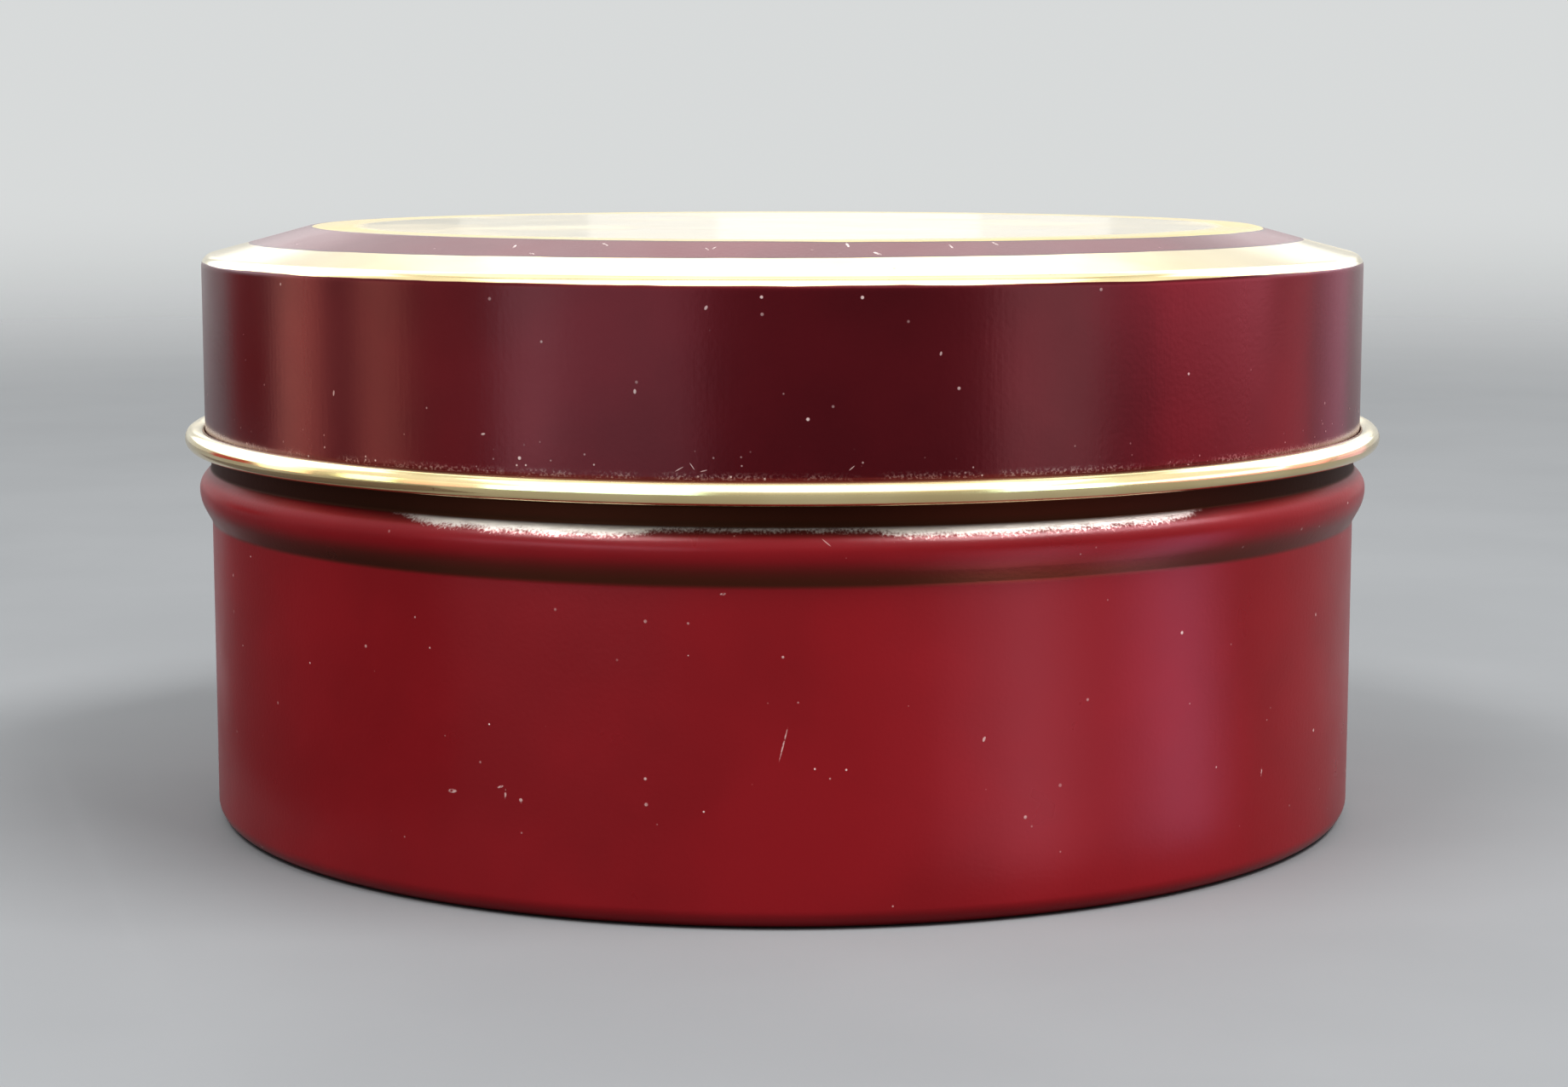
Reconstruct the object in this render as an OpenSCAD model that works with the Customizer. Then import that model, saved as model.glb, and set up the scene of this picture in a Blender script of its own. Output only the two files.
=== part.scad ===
// Round slip-lid candy tin, drawn from tinplate: a seamless body with a bead and a lift-off lid.
// Millimetres, +Z up. The origin is at the middle of the face that the tin stands on.

/* [Sheet] */
// Thickness of the tinplate that both pieces are drawn from
sheet_t = 0.25; // [0.2:0.01:0.35]
// Gap left between the end of a rolled edge and the wall that it is rolled against
roll_gap = 0.1; // [0.05:0.01:0.2]

/* [Body] */
// Outside diameter of the straight wall
body_d = 94.1; // [75:0.1:120]
// Height of the mouth above the table
body_h = 45.5; // [40:0.1:70]
// Outside radius of the corner between the wall and the base
base_corner_r = 1.4; // [0.8:0.1:4]
// Width of the flat ring that the tin stands on
stand_w = 4.6; // [2:0.1:10]
// How far the middle of the base is pressed up from the table
base_lift = 0.8; // [0.3:0.05:1.5]
// Width of the step between the standing ring and the pressed-up middle
base_step_w = 2; // [1.6:0.1:5]
// Outside diameter of the mouth's inward roll
rim_d = 1.8; // [1.4:0.05:3]

/* [Bead] */
// Height of the bead's lower edge above the table
bead_z = 24.2; // [10:0.1:27]
// Height of the bead's lower flank, from its lower edge to its crest
bead_rise = 2.7; // [1.5:0.1:4]
// Height of the bead's upper flank, from its crest to its upper edge
bead_fall = 1.8; // [1.5:0.1:4]
// How far the crest stands out from the wall
bead_out = 0.95; // [0.4:0.05:1.2]

/* [Lid] */
// Clearance between the lid and the body, at the wall and at the mouth
lid_gap = 0.19; // [0.1:0.01:0.4]
// Gap between the top of the bead and the curl at the lid's lower edge
curl_gap = 1.4; // [0.5:0.1:4]
// Outside diameter of the curl at the lid's lower edge
curl_d = 1.85; // [1.4:0.05:3]
// Outside radius of the corner between the lid's wall and its sloping shoulder
lid_corner_r = 1; // [0.6:0.1:3]
// Slope of the shoulder that rises to the lid's middle panel, in degrees
lid_slope = 15; // [5:1:30]
// Width of the shoulder, from the lid's wall to the edge of its flat middle panel
shoulder_w = 8.8; // [4:0.1:20]
// Outside radius of the bend at the edge of the middle panel
panel_edge_r = 1.2; // [0.6:0.1:4]

/* [Hidden] */
$fn = 180;

// Steps in which a bend of the sheet is drawn, in degrees
bend_step = 8;
// Share of a flank's bends that lies at its foot, on the bead and on the step of the base
bead_foot_share = 0.22;
step_foot_share = 0.5;
// How straight a flank runs between its two bends: 0 is all bend and 1 a plain slope
bead_straight = 0.55;
step_straight = 0.3;

// Middle line of the sheet: radii of the walls and of the bends
body_r = (body_d - sheet_t) / 2;
base_bend = base_corner_r - sheet_t / 2;
lid_r = body_d / 2 + lid_gap + sheet_t / 2;
lid_bend = lid_corner_r - sheet_t / 2;
panel_bend = panel_edge_r - sheet_t / 2;

// Base and mouth of the body
base_r = body_r - base_bend - stand_w - base_step_w;
bead_top = bead_z + bead_rise + bead_fall;
rim_z = body_h - rim_d / 2;

// The lid rests on the mouth: its shoulder clears the rolled rim by the lid's clearance
corner_room = lid_corner_r - sheet_t - rim_d / 2 - lid_gap;
lid_wall_top = rim_z - min(corner_room, 0) * (1 - sin(lid_slope)) / cos(lid_slope);
curl_z = bead_top + curl_gap + curl_d / 2;
panel_r = lid_r + sheet_t / 2 - shoulder_w;
slope_w = lid_r - panel_r - panel_bend * sin(lid_slope) - lid_bend * (1 - sin(lid_slope));
panel_z = lid_wall_top + lid_bend * cos(lid_slope) + slope_w * tan(lid_slope)
    + panel_bend * (1 - cos(lid_slope));

// A sheet is a start and a list of moves along its middle line: straight runs, and bends that
// turn left by a positive angle. A place on the line is [radius, height, heading in degrees].
function go(length) = ["go", length];
function turn(angle, radius) = ["turn", angle, radius];

// Two opposite bends with a slope between them, which carry the sheet forward and sideways, to the
// left where side is positive
function flank(forward, side, first_share, straight) =
    let (
        angle = (2 - straight) * atan(abs(side) / forward),
        bends = (forward * sin(angle) - abs(side) * cos(angle)) / (1 - cos(angle)),
        run = (abs(side) - bends * (1 - cos(angle))) / sin(angle),
        left = sign(side) * angle
    )
    [turn(left, bends * first_share), go(run), turn(-left, bends * (1 - first_share))];

// A rolled edge turns until its end nearly meets the wall again
function roll(outer_d) =
    turn(360 - acos((outer_d / 2 - sheet_t - roll_gap) / (outer_d / 2)), (outer_d - sheet_t) / 2);

function after_run(at, length) =
    [[at[0] + length * cos(at[2]), at[1] + length * sin(at[2]), at[2]]];

function round_bend(at, angle, radius) =
    let (
        steps = ceil(abs(angle) / bend_step),
        reach = sign(angle) * radius,
        middle = [at[0] - reach * sin(at[2]), at[1] + reach * cos(at[2])]
    )
    [for (i = [1:steps])
        let (heading = at[2] + angle * i / steps)
        [middle[0] + reach * sin(heading), middle[1] - reach * cos(heading), heading]];

function places(found, moves, i = 0) =
    i == len(moves) ? found :
    let (at = found[len(found) - 1], move = moves[i])
    places(
        concat(found, move[0] == "go" ? after_run(at, move[1]) : round_bend(at, move[1], move[2])),
        moves, i + 1);

function beside(place, left) =
    [place[0] - left * sin(place[2]), place[1] + left * cos(place[2])];

// Sheet of even thickness, turned about the tin's axis
module drawn_sheet(start, moves) {
    line = places([start], moves);
    last = len(line) - 1;
    rotate_extrude()
        polygon(concat(
            [for (i = [0:last]) beside(line[i], sheet_t / 2)],
            [for (i = [last:-1:0]) beside(line[i], -sheet_t / 2)]));
}

// Seamless cup: pressed-up base, rounded foot, outward bead, and a mouth rolled inwards
module tin_body() {
    color([0.52, 0.08, 0.11])
        drawn_sheet([0, base_lift + sheet_t / 2, 0], concat(
            [go(base_r)],
            flank(base_step_w, -base_lift, step_foot_share, step_straight),
            [go(stand_w), turn(90, base_bend), go(bead_z - base_corner_r)],
            flank(bead_rise, -bead_out, bead_foot_share, bead_straight),
            flank(bead_fall, bead_out, 1 - bead_foot_share, bead_straight),
            [go(rim_z - bead_top), roll(rim_d)]));
}

// Slip lid: flat middle panel, sloping shoulder, straight wall, and an edge rolled outwards
module lid() {
    color([0.34, 0.1, 0.14])
        drawn_sheet([0, panel_z, 0], [
            go(panel_r),
            turn(-lid_slope, panel_bend),
            go(slope_w / cos(lid_slope)),
            turn(lid_slope - 90, lid_bend),
            go(lid_wall_top - curl_z),
            roll(curl_d)]);
}

tin_body();
lid();
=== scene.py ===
import math

import bpy
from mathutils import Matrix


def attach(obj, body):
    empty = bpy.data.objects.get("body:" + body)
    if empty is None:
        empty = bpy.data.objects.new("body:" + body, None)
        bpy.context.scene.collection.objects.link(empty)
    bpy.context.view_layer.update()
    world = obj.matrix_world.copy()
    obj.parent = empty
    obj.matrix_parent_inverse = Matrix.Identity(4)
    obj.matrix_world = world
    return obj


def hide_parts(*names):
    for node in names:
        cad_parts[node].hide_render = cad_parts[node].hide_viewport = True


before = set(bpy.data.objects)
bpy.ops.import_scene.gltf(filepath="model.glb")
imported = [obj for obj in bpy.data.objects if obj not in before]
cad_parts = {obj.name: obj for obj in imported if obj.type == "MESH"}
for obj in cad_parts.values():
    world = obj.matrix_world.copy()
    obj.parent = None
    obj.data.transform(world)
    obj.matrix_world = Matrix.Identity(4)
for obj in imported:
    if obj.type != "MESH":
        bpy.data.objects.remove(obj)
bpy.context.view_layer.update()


# Tin body: a seamless cup drawn from one disc of tinplate, lacquered crimson outside and gold
# inside before it was pressed. It has a pressed-up base, a small rounded foot, an outward bead
# below the lid's edge, and a mouth rolled inwards. All sizes are in millimetres.

MM = 0.001
SHEET_T = 0.25
ROLL_GAP = 0.1

BODY_D = 94.1
BODY_H = 45.5
BASE_CORNER_R = 1.4
STAND_W = 4.6
BASE_LIFT = 0.8
BASE_STEP_W = 2
RIM_D = 1.8
BEAD_Z = 24.2
BEAD_RISE = 2.7
BEAD_FALL = 1.8
BEAD_OUT = 0.95
BEAD_FOOT_SHARE = 0.22
BEAD_STRAIGHT = 0.55
STEP_FOOT_SHARE = 0.5
STEP_STRAIGHT = 0.3

BODY_R = (BODY_D - SHEET_T) / 2
BASE_BEND = BASE_CORNER_R - SHEET_T / 2
BASE_R = BODY_R - BASE_BEND - STAND_W - BASE_STEP_W
BEAD_CREST = BEAD_Z + BEAD_RISE
BEAD_TOP = BEAD_CREST + BEAD_FALL
RIM_Z = BODY_H - RIM_D / 2

# How finely the sheet is drawn: degrees in a step of a bend, length of a step along a straight run
# and of the short step that guards its ends, degrees round the raw edge, and steps round the tin
BEND_STEP = 7
RUN_STEP = 3.5
GUARD_STEP = 0.06
EDGE_ROUND = (60, 30, 0, -30, -60)
STEPS_ROUND = 256

# How far a straight run gives, how far from a bend it gives fully, and its swells to the metre
GIVE = 0.05
SLACK_REACH = 5
SWELLS_PER_M = 28.0

# Radius of the ring that the outline is swept along, and the distance at which points are joined
TURN_R = 20
WELD = 0.0001


def go(length):
    return [("go", length, 0)]


def turn(degrees, radius):
    return [("turn", degrees, radius)]


def flank(forward, side, first_share, straight):
    """Two opposite bends with a slope between them, which carry the sheet forward and sideways, to
    the left where side is positive. straight is 0 for bends alone and 1 for a plain slope."""
    lean = (2 - straight) * math.atan(abs(side) / forward)
    bends = (forward * math.sin(lean) - abs(side) * math.cos(lean)) / (1 - math.cos(lean))
    run = (abs(side) - bends * (1 - math.cos(lean))) / math.sin(lean)
    degrees = math.copysign(math.degrees(lean), side)
    return turn(degrees, bends * first_share) + go(run) + turn(-degrees, bends * (1 - first_share))


def roll(outer_d):
    """A rolled edge, turned until its end nearly meets the wall again."""
    left_open = math.acos((outer_d / 2 - SHEET_T - ROLL_GAP) / (outer_d / 2))
    return turn(360 - math.degrees(left_open), (outer_d - SHEET_T) / 2)


def middle_line(height, moves):
    """Stations along the sheet's middle line, from the tin's axis outwards: radius, height, heading
    in radians, and slack, which is 1 where a long straight run can give a little."""
    radius, heading = 0.0, 0.0
    stations = [(radius, height, heading, 1.0)]
    for kind, amount, bend in moves:
        if kind == "go":
            parts = max(1, round(amount / RUN_STEP))
            marks = {GUARD_STEP, amount - GUARD_STEP, amount}
            marks |= {amount * i / parts for i in range(1, parts)}
            for far in sorted(mark for mark in marks if 0 < mark <= amount):
                slack = min(1, (amount - far) / SLACK_REACH)
                if radius > 0:
                    slack *= min(1, far / SLACK_REACH)
                stations.append((radius + far * math.cos(heading),
                                 height + far * math.sin(heading), heading, slack))
        else:
            steps = math.ceil(abs(amount) / BEND_STEP)
            reach = math.copysign(bend, amount)
            middle_r = radius - reach * math.sin(heading)
            middle_z = height + reach * math.cos(heading)
            for i in range(1, steps + 1):
                at = heading + math.radians(amount) * i / steps
                stations.append((middle_r + reach * math.sin(at),
                                 middle_z - reach * math.cos(at), at, 0.0))
        radius, height, heading = stations[-1][:3]
    return stations


def sheet_outline(stations, outside):
    """The sheet's cut face as an open line: along the outside face, round the raw edge and back
    along the inside face. outside is 1 where that face lies left of the line and -1 where right.
    Each point has a radius, a height, a face (1 outside, 0 inside, 0.5 raw edge) and a slack."""
    half = SHEET_T / 2

    def beside(station, left, face):
        radius, height, heading, slack = station
        return (max(0.0, radius - left * math.sin(heading)),
                height + left * math.cos(heading), face, slack)

    outer = [beside(station, outside * half, 1.0) for station in stations]
    inner = [beside(station, -outside * half, 0.0) for station in reversed(stations)]
    radius, height, heading, _ = stations[-1]
    edge = []
    for degrees in EDGE_ROUND:
        at = heading + math.radians(degrees) * outside
        edge.append((radius + half * math.cos(at), height + half * math.sin(at), 0.5, 0.0))
    return outer + edge + inner


class Wire:
    """A socket of a node tree. Sums and products of wires add Math nodes to that tree."""

    def __init__(self, socket):
        self.socket = socket
        self.tree = socket.id_data

    def node(self, kind, settings, values, out=0):
        """Any node: its settings are set first, then each input gets its value or its link."""
        made = self.tree.nodes.new(kind)
        for name, value in settings.items():
            setattr(made, name, value)
        for name, value in values.items():
            if isinstance(value, Wire):
                self.tree.links.new(value.socket, made.inputs[name])
            else:
                made.inputs[name].default_value = value
        return Wire(made.outputs[out])

    def also(self, out):
        """Another output of the node that this wire comes from."""
        return Wire(self.socket.node.outputs[out])

    def math(self, operation, *others):
        values = dict(enumerate((self, *others)))
        return self.node("ShaderNodeMath", {"operation": operation}, values)

    def __add__(self, other):
        return self.math("ADD", other)

    def __sub__(self, other):
        return self.math("SUBTRACT", other)

    def __rsub__(self, other):
        return self.node("ShaderNodeMath", {"operation": "SUBTRACT"}, {0: other, 1: self})

    def __mul__(self, other):
        return self.math("MULTIPLY", other)

    def __truediv__(self, other):
        return self.math("DIVIDE", other)

    def __rtruediv__(self, other):
        return self.node("ShaderNodeMath", {"operation": "DIVIDE"}, {0: other, 1: self})

    __radd__ = __add__
    __rmul__ = __mul__

    def ease(self, low, high):
        """0 below low, 1 above high and smooth between; low may be the larger."""
        values = {"Value": self, "From Min": min(low, high), "From Max": max(low, high)}
        eased = self.node("ShaderNodeMapRange", {"interpolation_type": "SMOOTHSTEP"}, values)
        return eased if low < high else 1 - eased

    def band(self, start, full, still, end):
        """0 below start, 1 from full to still, and 0 again above end."""
        return self.ease(start, full) * self.ease(end, still)

    def split(self):
        """The x, y and z of a place."""
        x = self.node("ShaderNodeSeparateXYZ", {}, {0: self})
        return x, x.also("Y"), x.also("Z")

    def stretch(self, x, y, z):
        """The same place, counted finer or coarser along each axis."""
        return self.node("ShaderNodeVectorMath", {"operation": "MULTIPLY"}, {0: self, 1: (x, y, z)})

    def noise(self, size, detail):
        """Soft noise from 0 to 1 with features of that size in millimetres, at this place."""
        values = {"Vector": self, "Scale": 1 / size, "Detail": detail, "Roughness": 0.5}
        return self.node("ShaderNodeTexNoise", {}, values)

    def specks(self, cell, size, share):
        """Small round marks up to that size across, in a share of the cells."""
        near = self.node("ShaderNodeTexVoronoi", {}, {"Vector": self, "Scale": 1 / cell})
        cell_colour = near.also("Color")
        picked = cell_colour.node("ShaderNodeSeparateColor", {}, {"Color": cell_colour})
        return (near * cell).ease(size / 2, size / 4) * picked.math("LESS_THAN", share)

    def hairlines(self, width, share):
        """Thin lines along the levels of a soft noise at this place, broken up by that share."""
        height = (self.noise(1, 1) - 0.5).math("ABSOLUTE")
        kept = self.noise(3, 1).ease(0.62 - share * 0.3, 0.7 - share * 0.3)
        return height.ease(width, width * 0.3) * kept

    def mix(self, low, high):
        """The colour low where this is 0 and high where it is 1."""
        return self.node("ShaderNodeMix", {"data_type": "RGBA"}, {0: self, 6: low, 7: high}, 2)

    def clouds(self, size, colours, detail=3):
        """A colour that drifts between two, in clouds of that size."""
        return self.noise(size, detail).ease(0.3, 0.7).mix(*colours)


def most(*wires):
    """The largest of several masks."""
    largest = wires[0]
    for wire in wires[1:]:
        largest = largest.math("MAXIMUM", wire)
    return largest


def turned_sheet():
    """A tree that turns a sheet's outline about the tin's axis and lets its long runs give a
    little: walls swell in and out, and level faces sink."""
    tree = bpy.data.node_groups.new("turned_sheet", "GeometryNodeTree")
    for name, kind in (("Outline", "Geometry"), ("Steps Round", "Int"), ("Give", "Float"),
                       ("Finish", "Material")):
        tree.interface.new_socket(name, in_out="INPUT", socket_type="NodeSocket" + kind)
    tree.interface.new_socket("Sheet", in_out="OUTPUT", socket_type="NodeSocketGeometry")
    outline = Wire(tree.nodes.new("NodeGroupInput").outputs["Outline"])
    steps, give, finish = (outline.also(name) for name in ("Steps Round", "Give", "Finish"))

    ring = outline.node("GeometryNodeCurvePrimitiveCircle", {},
                        {"Resolution": steps, "Radius": TURN_R * MM})
    profile = outline.node("GeometryNodeMeshToCurve", {}, {"Mesh": outline})
    swept = outline.node("GeometryNodeCurveToMesh", {}, {"Curve": ring, "Profile Curve": profile})
    closed = outline.node("GeometryNodeMergeByDistance", {},
                          {"Geometry": swept, "Distance": WELD * MM})

    place = outline.node("GeometryNodeInputPosition", {}, {})
    slack = outline.node("GeometryNodeInputNamedAttribute", {"data_type": "FLOAT"},
                         {"Name": "slack"})
    across = place.stretch(1, 1, 0)
    out = across.node("ShaderNodeVectorMath", {"operation": "NORMALIZE"}, {0: across})
    normal = outline.node("GeometryNodeInputNormal", {}, {})
    level = normal.split()[2].math("ABSOLUTE").ease(0.5, 0.9)
    lean = level.node("ShaderNodeMix", {"data_type": "VECTOR"},
                      {0: level, 4: out, 5: (0, 0, -1)}, 1)
    swell = place.node("ShaderNodeTexNoise", {},
                       {"Vector": place, "Scale": SWELLS_PER_M, "Detail": 1.0})
    shift = lean.node("ShaderNodeVectorMath", {"operation": "SCALE"},
                      {0: lean, "Scale": (swell - 0.5 + level * 0.5) * slack * give})
    given = outline.node("GeometryNodeSetPosition", {}, {"Geometry": closed, "Offset": shift})
    smooth = outline.node("GeometryNodeSetShadeSmooth", {},
                          {"Geometry": given, "Shade Smooth": True})
    real = outline.node("GeometryNodeRealizeInstances", {}, {"Geometry": smooth})
    done = outline.node("GeometryNodeSetMaterial", {}, {"Geometry": real, "Material": finish})
    tree.links.new(done.socket, tree.nodes.new("NodeGroupOutput").inputs["Sheet"])
    return tree


TURNED_SHEET = turned_sheet()


def pressed_piece(name, outline, finish):
    """Turns a sheet's outline into a plain mesh at the origin and returns its object."""
    line = bpy.data.meshes.new(name + "_outline")
    places = [((radius - TURN_R) * MM, -height * MM, 0) for radius, height, _, _ in outline]
    line.from_pydata(places, [(i, i + 1) for i in range(len(places) - 1)], [])
    for column, title in ((2, "outside"), (3, "slack")):
        stored = line.attributes.new(title, "FLOAT", "POINT")
        stored.data.foreach_set("value", [point[column] for point in outline])
    blank = bpy.data.objects.new(name + "_outline", line)
    bpy.context.scene.collection.objects.link(blank)
    press = blank.modifiers.new("press", "NODES")
    press.node_group = TURNED_SHEET
    settings = {"Steps Round": STEPS_ROUND, "Give": GIVE * MM, "Finish": finish}
    for socket in TURNED_SHEET.interface.items_tree:
        if socket.name in settings:
            press[socket.identifier] = settings[socket.name]
    graph = bpy.context.evaluated_depsgraph_get()
    mesh = bpy.data.meshes.new_from_object(blank.evaluated_get(graph),
                                           preserve_all_data_layers=True, depsgraph=graph)
    bpy.data.objects.remove(blank)
    mesh.name = name
    piece = bpy.data.objects.new(name, mesh)
    bpy.context.scene.collection.objects.link(piece)
    return piece


def new_finish(name):
    """An empty finish: its surface shader, and the place on the piece in millimetres."""
    material = bpy.data.materials.new(name)
    material.use_nodes = True
    shader = material.node_tree.nodes["Principled BSDF"]
    place = Wire(material.node_tree.nodes.new("ShaderNodeTexCoord").outputs["Object"])
    place = place.node("ShaderNodeVectorMath", {"operation": "SCALE"}, {0: place, "Scale": 1 / MM})
    return material, shader, place


def set_surface(shader, **wires):
    for name, wire in wires.items():
        shader.id_data.links.new(wire.socket, shader.inputs[name.replace("_", " ").title()])


def sheet_faces(place):
    """The sheet's own count of its faces, and masks of the outside face and of the raw edge."""
    outside = place.node("ShaderNodeAttribute", {"attribute_name": "outside"}, {}, "Fac")
    return outside, outside.ease(0.7, 0.9), outside.band(0.2, 0.4, 0.6, 0.8)


def scuff(arc, height, at_arc, at_height, length, width, tilt):
    """One short mark on the wall, at an arc from the front and a height, tilted from upright."""
    lean = math.radians(tilt)
    along = (arc - at_arc) * math.sin(lean) + (height - at_height) * math.cos(lean)
    aside = (arc - at_arc) * math.cos(lean) - (height - at_height) * math.sin(lean)
    along, aside = along / (length / 2), aside / (width / 2)
    return (along * along + aside * aside).ease(1.0, 0.3)


def uneven(place):
    """Dust lies thick in some places and thin in others."""
    return 0.3 + 0.7 * place.noise(2, 1).ease(0.4, 0.65)


BARE_TIN = (0.62, 0.60, 0.57, 1)
GOLD = (0.73, 0.60, 0.35, 1), (0.81, 0.69, 0.43, 1)
GOLD_ROUGH = 0.08
GOLD_SCRATCH = (0.93, 0.88, 0.76, 1)
GOLD_PINHOLE = (0.30, 0.19, 0.08, 1)

# Pinholes, as every kind of speck: cell, size and share. Lines, as every kind of stretch: how many
# times finer than the place they are counted along x, y and z
PINHOLES = 1.9, 0.22, 0.2
ROLLED_LINES = 0.08, 5, 0.5
LONG_SCRATCHES = 0.02, 0.9, 0.02
SHORT_SCRATCHES = 0.03, 0.7, 0.03
SHORT_TURNED = 35, 120
SCRATCH_W = 0.02


def gold_lacquer(place, flat):
    """Colour, roughness and relief of transparent gold lacquer on bright tinplate. The tinplate was
    rolled in fine straight lines, and use has left pinholes, smudges and, on flat, scratches."""
    rolled = place.stretch(*ROLLED_LINES).noise(1, 2)
    scratches = place.stretch(*LONG_SCRATCHES).hairlines(SCRATCH_W, 0.1)
    for degrees in SHORT_TURNED:
        turned = place.node("ShaderNodeVectorRotate", {"rotation_type": "Z_AXIS"},
                            {"Vector": place, "Angle": math.radians(degrees)})
        scratches = most(scratches, turned.stretch(*SHORT_SCRATCHES).hairlines(SCRATCH_W, 0.0))
    scratches = scratches * flat
    smudge = place.noise(17, 2).ease(0.45, 0.7)
    colour = place.clouds(9, GOLD)
    colour = (scratches * 0.12).mix(colour, GOLD_SCRATCH)
    colour = (place.specks(*PINHOLES) * 0.6).mix(colour, GOLD_PINHOLE)
    rough = (GOLD_ROUGH + 0.06 * place.noise(2.5, 3) + 0.05 * rolled + 0.05 * scratches
             + 0.06 * smudge)
    return colour, rough, rolled * flat * 0.12 + scratches * 0.08


CRIMSON = (0.185, 0.0085, 0.0130, 1), (0.215, 0.0100, 0.0155, 1)
CRIMSON_ROUGH = 0.25
CRIMSON_GLOSS = 0.3
CRIMSON_RUBBED = (0.36, 0.05, 0.06, 1)
# Painted shade: dark colours for the ledge's upper flank, the bead's lower flank and the groove
# above the bead, where the lid's roll and the bead shade the wall
LEDGE_SHADE = (0.045, 0.014, 0.007, 1)
UNDER_BEAD_SHADE = (0.105, 0.048, 0.025, 1)
GROOVE_SHADE = (0.045, 0.020, 0.010, 1)
BODY_DUST = (0.62, 0.50, 0.47, 1)

# Heights where each band of painted shade begins, is full, is still full, and ends
UNDER_BEAD_SHADE_Z = BEAD_Z - 0.05, BEAD_Z + 0.4, BEAD_Z + 0.4, BEAD_CREST - 0.4
LEDGE_SHADE_Z = BEAD_CREST + 0.8, BEAD_TOP - 0.35, BEAD_TOP, BEAD_TOP + 0.5
GROOVE_Z = BEAD_TOP - 0.3, BEAD_TOP - 0.1, BEAD_TOP + 2.5, BEAD_TOP + 3.5

# Squared arcs from the front where the painted shade under the bead and on the ledge thins and
# where it is full
UNDER_BEAD_SHADE_ENDS = 2800, 500
LEDGE_SHADE_ENDS = 1700, 150

# Heights where wear, and the bare tin that stands for the ledge's highlight, begins and where it is
# full
NECK_Z = BEAD_TOP + 1, BEAD_TOP + 4
LEDGE_Z = BEAD_CREST + 0.78, BEAD_CREST + 1.3
LEDGE_ENDS_Z = BEAD_TOP - 0.1, BEAD_TOP - 0.3
MOUTH_Z = BODY_H - 0.4, BODY_H - 0.05
STAND_Z = 0.12, 0.02
INSIDE_BASE_Z = 2.0, 1.6

# Stretches of the bead's ledge that are rubbed bare, placed where the light glints on it, so that
# the bare tin there is partly a painted highlight: arc from the front, length and strength
LEDGE_GLINT_RUBS = (-18.5, 25, 1), (-1, 40, 0.49), (18.5, 33, 1)
LEDGE_GLINT_RUB_W = 12

# Specks of dust, coarse and fine, the lines left by drawing and by the lid, the size of the
# lacquer's grain, and its depth
COARSE_DUST = 2.4, 0.34, 0.4
FINE_DUST = 1.1, 0.2, 0.1
DRAWN_LINES = 3, 3, 0.15
RUBBED_LINES = 4, 4, 0.25
GRAIN = 0.35
GRAIN_DEPTH = 0.05

# Scuffs: arc from the front, height, length, width, and tilt from upright in degrees
BODY_SCUFFS = (
    (0.1, 13.4, 2.9, 0.14, 14), (-24.8, 8.7, 0.9, 0.35, 86), (-20.3, 8.9, 0.9, 0.2, 4),
    (-20.7, 9.4, 0.6, 0.2, 70), (40.9, 8.0, 0.9, 0.22, 4), (-4.1, 23.9, 0.5, 0.22, 80),
    (14.4, 13.3, 0.5, 0.25, 20))
BEAD_HAIR = 3.0, 27.6, 0.9, 0.1, -50


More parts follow.
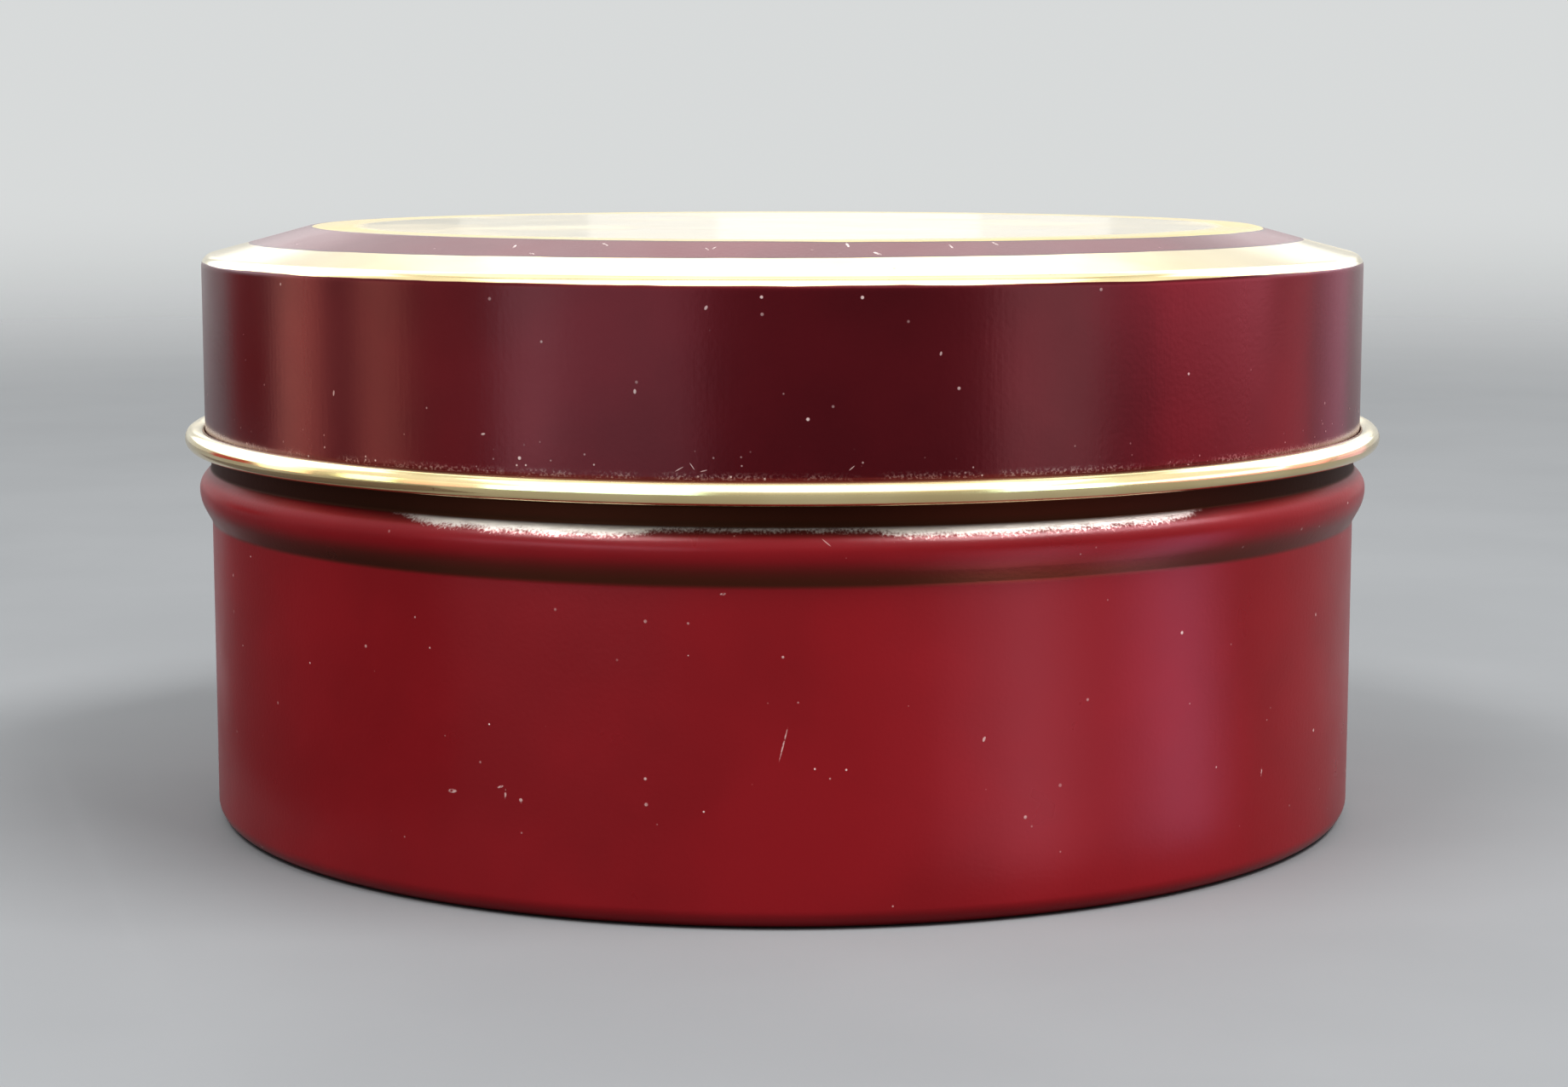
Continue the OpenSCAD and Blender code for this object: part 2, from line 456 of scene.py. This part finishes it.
def crimson_finish():
    material, shader, place = new_finish("crimson_lacquer")
    x, y, z = place.split()
    outside, face, raw = sheet_faces(place)
    arc = x.math("ARCTAN2", y * -1) * (BODY_D / 2)

    # Painted shade under the bead, on its upper flank at the front and in the groove under the roll
    under = z.band(*UNDER_BEAD_SHADE_Z) * (0.5 + 0.5 * (arc * arc).ease(*UNDER_BEAD_SHADE_ENDS))
    flank_shade = z.band(*LEDGE_SHADE_Z) * (arc * arc).ease(*LEDGE_SHADE_ENDS)
    groove = z.band(*GROOVE_Z)
    colour = place.clouds(14, CRIMSON)
    colour = (flank_shade * 0.8).mix(colour, LEDGE_SHADE)
    colour = (under * 0.8).mix(colour, UNDER_BEAD_SHADE)
    colour = (groove * 0.92).mix(colour, GROOVE_SHADE)

    # Dust in specks, and scuffs that hold some of it
    marks = most(*(scuff(arc, z, *mark) for mark in BODY_SCUFFS))
    marks = marks * place.noise(0.25, 2).ease(0.3, 0.6)
    dust = most(place.specks(*COARSE_DUST), place.specks(*FINE_DUST)) * uneven(place)
    dust = most(dust, marks * 0.7, scuff(arc, z, *BEAD_HAIR) * 0.5) * (1 - groove)
    colour = (dust * 0.8).mix(colour, BODY_DUST)

    # The lid's wall has rubbed the neck paler
    neck = z.ease(*NECK_Z) * place.stretch(*RUBBED_LINES).noise(1, 3).ease(0.6, 0.75) * 0.35
    colour = neck.mix(colour, CRIMSON_RUBBED)

    # The lacquer is worn to bare tin at the mouth, the standing ring, the raw edge and the ledge;
    # at the front of the ledge the bare tin is a painted highlight, placed where the light glints
    rubbed_and_glint = place.noise(9, 1).ease(0.45, 0.7) * y.ease(-15, 10) * 0.8
    for at, length, strength in LEDGE_GLINT_RUBS:
        rubbed_and_glint = most(rubbed_and_glint, scuff(arc, z, at, BEAD_TOP, length, LEDGE_GLINT_RUB_W, 90) * strength)
    ledge_wear_and_glint = z - (1 - rubbed_and_glint) + (place.noise(0.2, 2) - 0.5) * 0.8 + (place.noise(3, 1) - 0.5) * 0.6
    ledge_wear_and_glint = ledge_wear_and_glint.ease(*LEDGE_Z) * z.ease(*LEDGE_ENDS_Z)
    mouth = z.ease(*MOUTH_Z) * place.noise(0.7, 3).ease(0.5, 0.75) * 0.7
    stand = z.ease(*STAND_Z) * place.noise(0.8, 3).ease(0.5, 0.75) * outside * 0.5
    wear_and_glint = most(mouth, stand, raw, ledge_wear_and_glint * face * 0.85)

    # Gold on the inside, with scratches on its base, and how rough and grainy each part is
    gold, gold_rough, gold_relief = gold_lacquer(place, (1 - face) * z.ease(*INSIDE_BASE_Z))
    colour = face.mix(gold, colour)
    colour = wear_and_glint.mix(colour, BARE_TIN)
    # The painted shade in the groove and under the bead is also made dark metal, which darkens
    # their reflections
    metal = most(1 - face, wear_and_glint, groove * 0.9, under * 0.7)
    rough = (CRIMSON_ROUGH + 0.08 * place.noise(5, 3) + 0.3 * dust + 0.1 * neck + 0.2 * groove
             + 0.12 * ledge_wear_and_glint)
    rough = gold_rough + (rough - gold_rough) * face
    grain = place.noise(GRAIN, 2) * (0.4 + 0.8 * ledge_wear_and_glint) + dust * 0.6
    grain = grain + place.stretch(*DRAWN_LINES).noise(1, 2) * 0.12
    grain = gold_relief + (grain - gold_relief) * face
    bump = grain.node("ShaderNodeBump", {},
                      {"Strength": 0.4, "Distance": GRAIN_DEPTH * MM, "Height": grain})
    set_surface(shader, base_color=colour, metallic=metal, roughness=rough, normal=bump)
    shader.inputs["Specular IOR Level"].default_value = CRIMSON_GLOSS
    return material


BODY_LINE = middle_line(BASE_LIFT + SHEET_T / 2, (
    go(BASE_R) + flank(BASE_STEP_W, -BASE_LIFT, STEP_FOOT_SHARE, STEP_STRAIGHT)
    + go(STAND_W) + turn(90, BASE_BEND) + go(BEAD_Z - BASE_CORNER_R)
    + flank(BEAD_RISE, -BEAD_OUT, BEAD_FOOT_SHARE, BEAD_STRAIGHT)
    + flank(BEAD_FALL, BEAD_OUT, 1 - BEAD_FOOT_SHARE, BEAD_STRAIGHT)
    + go(RIM_Z - BEAD_TOP) + roll(RIM_D)))
body = pressed_piece("tin_cup", sheet_outline(BODY_LINE, -1), crimson_finish())
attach(body, "tin")
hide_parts("tin_body")


# Slip lid: drawn from one disc of tinplate, printed maroon with gold rings and gold inside. A flat
# panel falls by a sloping shoulder to a straight wall, which is pushed over the body's mouth. The
# edge is rolled outwards, so the gold of the inside shows on the roll. Millimetres again.

LID_GAP = 0.19
CURL_GAP = 1.4
CURL_D = 1.85
LID_CORNER_R = 1
LID_SLOPE = 15
SHOULDER_W = 8.8
PANEL_EDGE_R = 1.2

LID_R = BODY_D / 2 + LID_GAP + SHEET_T / 2
LID_BEND = LID_CORNER_R - SHEET_T / 2
PANEL_BEND = PANEL_EDGE_R - SHEET_T / 2
SLOPE = math.radians(LID_SLOPE)
CORNER_ROOM = LID_CORNER_R - SHEET_T - RIM_D / 2 - LID_GAP
LID_WALL_TOP = RIM_Z - min(CORNER_ROOM, 0) * (1 - math.sin(SLOPE)) / math.cos(SLOPE)
CURL_Z = BEAD_TOP + CURL_GAP + CURL_D / 2
PANEL_R = LID_R + SHEET_T / 2 - SHOULDER_W
SLOPE_W = LID_R - PANEL_R - PANEL_BEND * math.sin(SLOPE) - LID_BEND * (1 - math.sin(SLOPE))
PANEL_Z = (LID_WALL_TOP + LID_BEND * math.cos(SLOPE) + SLOPE_W * math.tan(SLOPE)
           + PANEL_BEND * (1 - math.cos(SLOPE)))

# The print: a gold band from the wall's top up the shoulder, and a gold panel with a duller rim,
# each a little off the middle, with the softness of a printed edge
BAND_FOOT_Z = 45.2
BAND_R = 43.3
BAND_MIDDLE = (-0.5, 0.6)
GOLD_PANEL_R = 39.0
GOLD_PANEL_MIDDLE = (0.45, 0)
GOLD_RIM_R = GOLD_PANEL_R - 4.5, GOLD_PANEL_R - 3
PRINT_EDGE = 0.04
PRINT_WANDER = 0.3
PANEL_OUTLINE_R = GOLD_PANEL_R - 0.1, GOLD_PANEL_R, GOLD_PANEL_R + 0.15, GOLD_PANEL_R + 0.3
BAND_OUTLINE_R = BAND_R - 0.35, BAND_R - 0.2, BAND_R - 0.1, BAND_R

MAROON = (0.085, 0.0045, 0.0095, 1), (0.105, 0.0060, 0.0120, 1)
MAROON_ROUGH = 0.19
MAROON_SHEEN = 0.45
MAROON_GLOSS = 0.4
PRINT_OUTLINE = (0.030, 0.004, 0.004, 1)
RIM_GOLD = (0.50, 0.38, 0.10, 1)
LID_DUST = (0.60, 0.48, 0.46, 1)
LINT = (0.80, 0.75, 0.71, 1)

# Specks of dust on the whole wall and low on it, and the heights where the low dust and the fluff
# begin and where they are full
WALL_DUST = 1.7, 0.32, 0.3
LOW_DUST = 0.6, 0.2, 0.4
LOW_DUST_Z = CURL_Z + 3.5, CURL_Z + 0.9
FLUFF_Z = CURL_Z + 1.5, CURL_Z + 0.95

# Scuffs on the wall, as on the body, and lint on the shoulder, with a radius in place of a height
LID_SCUFFS = (
    (-5.2, 43.7, 0.4, 0.25, 30), (-10.2, 37.9, 0.4, 0.25, 0), (-35.8, 36.8, 0.5, 0.2, 10),
    (-7.1, 32.6, 0.8, 0.09, 60), (-6.2, 32.8, 0.7, 0.09, -35), (-5.4, 32.5, 0.6, 0.09, 75),
    (4.8, 32.7, 0.6, 0.1, 50), (-21.7, 34.6, 0.4, 0.2, 80), (11.0, 40.5, 0.35, 0.2, 15))
SHOULDER_LINT = (
    (-23.3, 41.0, 0.9, 0.3, 20), (-15.2, 40.3, 1.2, 0.25, 50), (-6.2, 41.2, 1.0, 0.2, 30),
    (-5.6, 41.0, 0.8, 0.2, -20), (5.5, 40.4, 1.3, 0.3, 5), (7.6, 42.4, 1.0, 0.4, 40),
    (14.3, 41.0, 1.2, 0.25, 0), (18.6, 40.5, 0.9, 0.3, 15), (-20.6, 42.6, 0.8, 0.3, 60))


def maroon_finish():
    material, shader, place = new_finish("maroon_and_gold_print")
    x, y, z = place.split()
    _, face, raw = sheet_faces(place)
    arc = x.math("ARCTAN2", y * -1) * (LID_R + SHEET_T / 2)

    # The printed edges wander a little, and a fine dark line follows each ring
    wander = (place.noise(6, 2) - 0.5) * PRINT_WANDER

    def from_middle(middle):
        along, across = x - middle[0], y - middle[1]
        return (along * along + across * across).math("SQRT") + wander

    band_r, panel_r = from_middle(BAND_MIDDLE), from_middle(GOLD_PANEL_MIDDLE)
    level = z + wander * 0.7
    band = (band_r.ease(BAND_R - PRINT_EDGE, BAND_R + PRINT_EDGE)
            * level.ease(BAND_FOOT_Z - PRINT_EDGE, BAND_FOOT_Z + PRINT_EDGE))
    panel = panel_r.ease(GOLD_PANEL_R + PRINT_EDGE, GOLD_PANEL_R - PRINT_EDGE)
    printed = most(band, panel)
    outline = most(panel_r.band(*PANEL_OUTLINE_R), band_r.band(*BAND_OUTLINE_R))
    colour = place.clouds(12, MAROON)
    colour = (outline * 0.7).mix(colour, PRINT_OUTLINE)

    # Dust in specks, thicker and fluffy just above the curl, scuffs, and lint on the shoulder
    low = z.ease(*LOW_DUST_Z) * place.noise(3, 1).ease(0.35, 0.6)
    fluff = z.ease(*FLUFF_Z) * place.noise(4, 1).ease(0.3, 0.6)
    fluff = fluff * place.noise(0.2, 2).ease(0.42, 0.7)
    marks = most(*(scuff(arc, z, *mark) for mark in LID_SCUFFS))
    dust = most(place.specks(*WALL_DUST) * uneven(place), place.specks(*LOW_DUST) * low,
                fluff * 0.35, marks * 0.7) * (1 - printed)
    colour = (dust * 0.75).mix(colour, LID_DUST)
    lint = most(*(scuff(arc, band_r, *mark) for mark in SHOULDER_LINT))
    lint = lint * place.noise(0.3, 2).ease(0.3, 0.65)
    colour = (lint * 0.6).mix(colour, LINT)
    rough = MAROON_ROUGH + 0.08 * place.noise(5, 3) + 0.4 * most(dust, lint)

    # Gold on the rings, the panel, the roll and the inside, duller at the panel's rim
    flat = z.ease(PANEL_Z - SHEET_T, PANEL_Z - SHEET_T / 2 - GIVE)
    gold, gold_rough, gold_relief = gold_lacquer(place, flat)
    rim = face * panel * panel_r.ease(*GOLD_RIM_R)
    gold = (rim * 0.7).mix(gold, RIM_GOLD)
    gold_rough = gold_rough + 0.14 * rim
    painted = face * (1 - printed)
    colour = painted.mix(gold, colour)
    colour = raw.mix(colour, BARE_TIN)
    metal = 1 - painted * (1 - MAROON_SHEEN)
    rough = gold_rough + (rough - gold_rough) * painted
    grain = place.noise(GRAIN, 2) * 0.4 + dust * 0.6
    grain = grain + place.stretch(*DRAWN_LINES).noise(1, 2) * 0.25
    grain = gold_relief + (grain - gold_relief) * painted
    bump = grain.node("ShaderNodeBump", {},
                      {"Strength": 0.3, "Distance": GRAIN_DEPTH * MM, "Height": grain})
    set_surface(shader, base_color=colour, metallic=metal, roughness=rough, normal=bump)
    shader.inputs["Specular IOR Level"].default_value = MAROON_GLOSS
    return material


LID_LINE = middle_line(PANEL_Z, (
    go(PANEL_R) + turn(-LID_SLOPE, PANEL_BEND) + go(SLOPE_W / math.cos(SLOPE))
    + turn(LID_SLOPE - 90, LID_BEND) + go(LID_WALL_TOP - CURL_Z) + roll(CURL_D)))
lid = pressed_piece("slip_lid", sheet_outline(LID_LINE, 1), maroon_finish())
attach(lid, "cover")
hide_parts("lid")


# Floor: a plain pale studio floor, dull and level, which isn't part of the tin. It fades into the
# surround far from the tin, so that no edge of it shows from any side. Its radius is in metres, and
# the distances at which it pales and fades are in millimetres.

FLOOR_R = 2.4
FLOOR_RINGS = 12
FLOOR_STEPS = 96
FLOOR_PALES = (100, 900)
FLOOR_FADES = (400, 2400)
FLOOR_NEAR = (0.21, 0.215, 0.22, 1), (0.225, 0.23, 0.235, 1)
FLOOR_FAR = (0.285, 0.29, 0.295, 1)
FLOOR_ROUGH = 0.7
FLOOR_GLOSS = 0.2


def studio_floor():
    steps = FLOOR_STEPS
    places = [(0, 0, 0)]
    for ring in range(1, FLOOR_RINGS + 1):
        radius = FLOOR_R * (ring / FLOOR_RINGS) ** 2
        for i in range(steps):
            turned = math.tau * i / steps
            places.append((radius * math.cos(turned), radius * math.sin(turned), 0))
    faces = [(0, 1 + i, 1 + (i + 1) % steps) for i in range(steps)]
    for ring in range(FLOOR_RINGS - 1):
        a, b = 1 + ring * steps, 1 + (ring + 1) * steps
        faces += [(a + i, b + i, b + (i + 1) % steps, a + (i + 1) % steps) for i in range(steps)]
    mesh = bpy.data.meshes.new("studio_floor")
    mesh.from_pydata(places, [], faces)
    floor = bpy.data.objects.new("studio_floor", mesh)
    bpy.context.scene.collection.objects.link(floor)
    material, shader, place = new_finish("pale_floor")
    x, y, _ = place.split()
    radius = (x * x + y * y).math("SQRT")
    # Painted light: the floor is painted paler far from the tin, where less light reaches it, so
    # that it meets the surround
    colour = radius.ease(*FLOOR_PALES).mix(place.clouds(60, FLOOR_NEAR, 4), FLOOR_FAR)
    kept = (1 / radius).ease(1 / FLOOR_FADES[1], 1 / FLOOR_FADES[0])
    set_surface(shader, base_color=colour, alpha=kept)
    shader.inputs["Roughness"].default_value = FLOOR_ROUGH
    shader.inputs["Specular IOR Level"].default_value = FLOOR_GLOSS
    mesh.materials.append(material)
    return floor


studio_floor()


# Studio light: a pale surround, brightest half-way up, and two soft lights above the camera, the
# right one brighter. Cards are reflectors that show only in the gloss of one piece, and flags are
# dull boards that darken the gloss near the edge of the walls. All sizes are in metres.

SURROUND_LOW = (0.51, 0.52, 0.52, 1)
SURROUND_SIDES = (0.82, 0.83, 0.84, 1), (1.0, 1.01, 1.02, 1)
SURROUND_TOP = (0.6, 0.61, 0.61, 1)
AIM_Z = 0.02
WHITE = (1, 1, 1)

world = bpy.data.worlds.new("surround")
bpy.context.scene.world = world
world.use_nodes = True
sky = Wire(world.node_tree.nodes.new("ShaderNodeTexCoord").outputs["Generated"])
sky_x, sky_y, sky_z = sky.split()
sides = (sky_x * sky_y * -2).ease(-1, 1).mix(*SURROUND_SIDES)
surround = sky_z.ease(0.1, 0.45).mix(SURROUND_LOW, sides)
surround = sky_z.ease(0.6, 0.9).mix(surround, SURROUND_TOP)
world.node_tree.links.new(surround.socket, world.node_tree.nodes["Background"].inputs["Color"])


def softbox(name, azimuth, elevation, distance, width, height, radiance, tint, piece=None):
    """A rectangular light that faces the tin; azimuth 0 is at the camera's side and 90 on the
    right. It lights everything and shows in no gloss, or it is a card for one piece's gloss."""
    light = bpy.data.lights.new(name, "AREA")
    light.shape = "RECTANGLE"
    light.size, light.size_y = width, height
    light.energy = radiance * math.pi * width * height
    light.color = tint
    lamp = bpy.data.objects.new(name, light)
    turned, raised = math.radians(azimuth), math.radians(elevation)
    lamp.location = (distance * math.sin(turned) * math.cos(raised),
                     -distance * math.cos(turned) * math.cos(raised),
                     AIM_Z + distance * math.sin(raised))
    lamp.rotation_euler = (math.radians(90 - elevation), 0, turned)
    lamp.visible_camera = False
    lamp.visible_diffuse, lamp.visible_glossy = piece is None, piece is not None
    if piece is not None:
        lamp.light_linking.receiver_collection = bpy.data.collections.new(name)
        lamp.light_linking.receiver_collection.objects.link(piece)
    bpy.context.scene.collection.objects.link(lamp)


def soft_card(name, azimuth, elevation, distance, widths, height, radiance, tint, piece):
    """A card that fades to its sides: several widths, the narrower a little nearer to the tin."""
    for width in widths:
        stands = distance + width / 20
        softbox(name, azimuth, elevation, stands, width, height, radiance, tint, piece)


# Name, azimuth, elevation, distance, width, height, radiance and tint
LIGHTS = (
    ("left_light", -50, 55, 0.75, 0.45, 0.2, 10.5, WHITE),
    ("right_light", 58, 55, 0.75, 0.5, 0.2, 14.8, WHITE))
LID_CARDS = (
    ("front_card", 0, 52, 0.6, 1.2, 0.7, 1.2, WHITE),
    ("back_strip", 178, 12.5, 0.95, 0.8, 0.14, 0.5, WHITE),
    ("top_card", 180, 74, 0.7, 0.9, 0.4, 0.7, WHITE),
    ("back_card", 184, 39, 0.75, 0.9, 0.25, 0.6, WHITE),
    ("curl_card", -128, 28, 0.6, 0.55, 0.45, 1.3, (0.8, 0.9, 1)),
    ("curl_card", 128, 28, 0.6, 0.55, 0.45, 1.3, (0.8, 0.9, 1)),
    ("warm_card", -94, 6, 0.2, 0.048, 0.09, 1.65, (1, 0.7, 0.5)),
    ("warm_card_2", -72, 6, 0.2, 0.04, 0.09, 1.75, (0.9, 1, 0.7)),
    ("warm_card_3", -57, 6, 0.2, 0.05, 0.09, 0.6, (1, 0.5, 0.45)),
    ("left_card", -42, 6, 0.2, 0.04, 0.09, 2.4, (0.6, 1, 1)),
    ("left_card_2", -24.5, 6, 0.2, 0.082, 0.09, 1.45, (0.6, 0.97, 1)),
    ("right_card", 45, 6, 0.2, 0.069, 0.09, 2.0, (0.65, 1, 0.95)),
    ("red_card", 88.5, 6, 0.2, 0.165, 0.09, 0.98, (1, 0.21, 0.27)),
    ("edge_card", 122, 6, 0.2, 0.06, 0.09, 0.4, (1, 0.35, 0.6)),
    ("right_glow", 80, 5, 0.5, 0.4, 0.12, 1.8, (0.9, 0.62, 0.75)))
BODY_CARDS = (
    ("left_bead_card", -50, 50, 0.75, 0.3, 0.26, 14.0, WHITE),
    ("right_bead_card", 52, 50, 0.75, 0.36, 0.28, 16.0, WHITE),
    ("left_body_card", -38, 2, 0.2, 0.14, 0.06, 0.45, (0.8, 0.9, 1)),
    ("bead_sheen_card", -34, 9, 0.2, 0.14, 0.03, 3.0, (0.7, 0.85, 1)),
    ("bead_sheen_card_2", 80, 40, 0.3, 0.13, 0.12, 7.0, (1, 0.85, 0.92)))
for light in LIGHTS:
    softbox(*light)
for card in LID_CARDS:
    softbox(*card, lid)
for card in BODY_CARDS:
    softbox(*card, body)

WIDE_CARD = (0.026, 0.044, 0.062)
NARROW_CARD = (0.007, 0.014, 0.022)
soft_card("panel_strip", 178.5, 4, 0.94, (0.1, 0.2, 0.3), 0.1, 0.1, WHITE, lid)
soft_card("body_card", 38, -7.5, 0.061, WIDE_CARD, 0.024, 0.42, (1, 0.42, 0.55), body)
soft_card("body_card_2", 27.5, -7.5, 0.061, NARROW_CARD, 0.024, 0.46, (0.6, 0.75, 0.9), body)
soft_card("body_card_3", 50, -7.5, 0.061, NARROW_CARD, 0.024, 0.46, (0.4, 0.6, 1), body)


def flag(name, azimuth, distance, width, low, high, colour, alpha):
    """A dull upright board, from a low to a high edge, that only gloss sees."""
    turned, half = math.radians(azimuth), width / 2
    out = (math.sin(turned) * distance, -math.cos(turned) * distance)
    aside = (math.cos(turned) * half, math.sin(turned) * half)
    ends = [(out[0] + aside[0] * side, out[1] + aside[1] * side) for side in (-1, 1)]
    mesh = bpy.data.meshes.new(name)
    mesh.from_pydata([(x, y, z) for z in (low, high) for x, y in ends], [], [(0, 1, 3, 2)])
    board = bpy.data.objects.new(name, mesh)
    bpy.context.scene.collection.objects.link(board)
    material, shader, _ = new_finish(name)
    shader.inputs["Base Color"].default_value = (*colour, 1)
    shader.inputs["Roughness"].default_value = 1.0
    shader.inputs["Alpha"].default_value = alpha
    mesh.materials.append(material)
    board.visible_camera = board.visible_diffuse = board.visible_shadow = False


flag("left_flag", -113.5, 0.21, 0.064, 0.012, 0.045, (0.4, 0.09, 0.09), 1)
flag("body_flag", -72, 0.058, 0.068, 0.001, 0.024, (0.14, 0.05, 0.05), 0.55)


# Camera: it stands about a forearm's length away, a little above the lid, and looks slightly down.
# Its place is in metres, and its lens and film are in millimetres.

CAMERA_PLACE = (0.00013, -0.26165, 0.05596)
CAMERA_DOWN = 7.566
LENS = 72.1
FILM_W = 36
NEAREST = 0.01

camera = bpy.data.cameras.new("camera")
camera.sensor_width = FILM_W
camera.lens = LENS
camera.clip_start = NEAREST
viewpoint = bpy.data.objects.new("camera", camera)
viewpoint.location = CAMERA_PLACE
viewpoint.rotation_euler = (math.radians(90 - CAMERA_DOWN), 0, 0)
bpy.context.scene.collection.objects.link(viewpoint)
bpy.context.scene.camera = viewpoint
bpy.context.scene.view_settings.view_transform = "Standard"
bpy.context.scene.view_settings.look = "High Contrast"
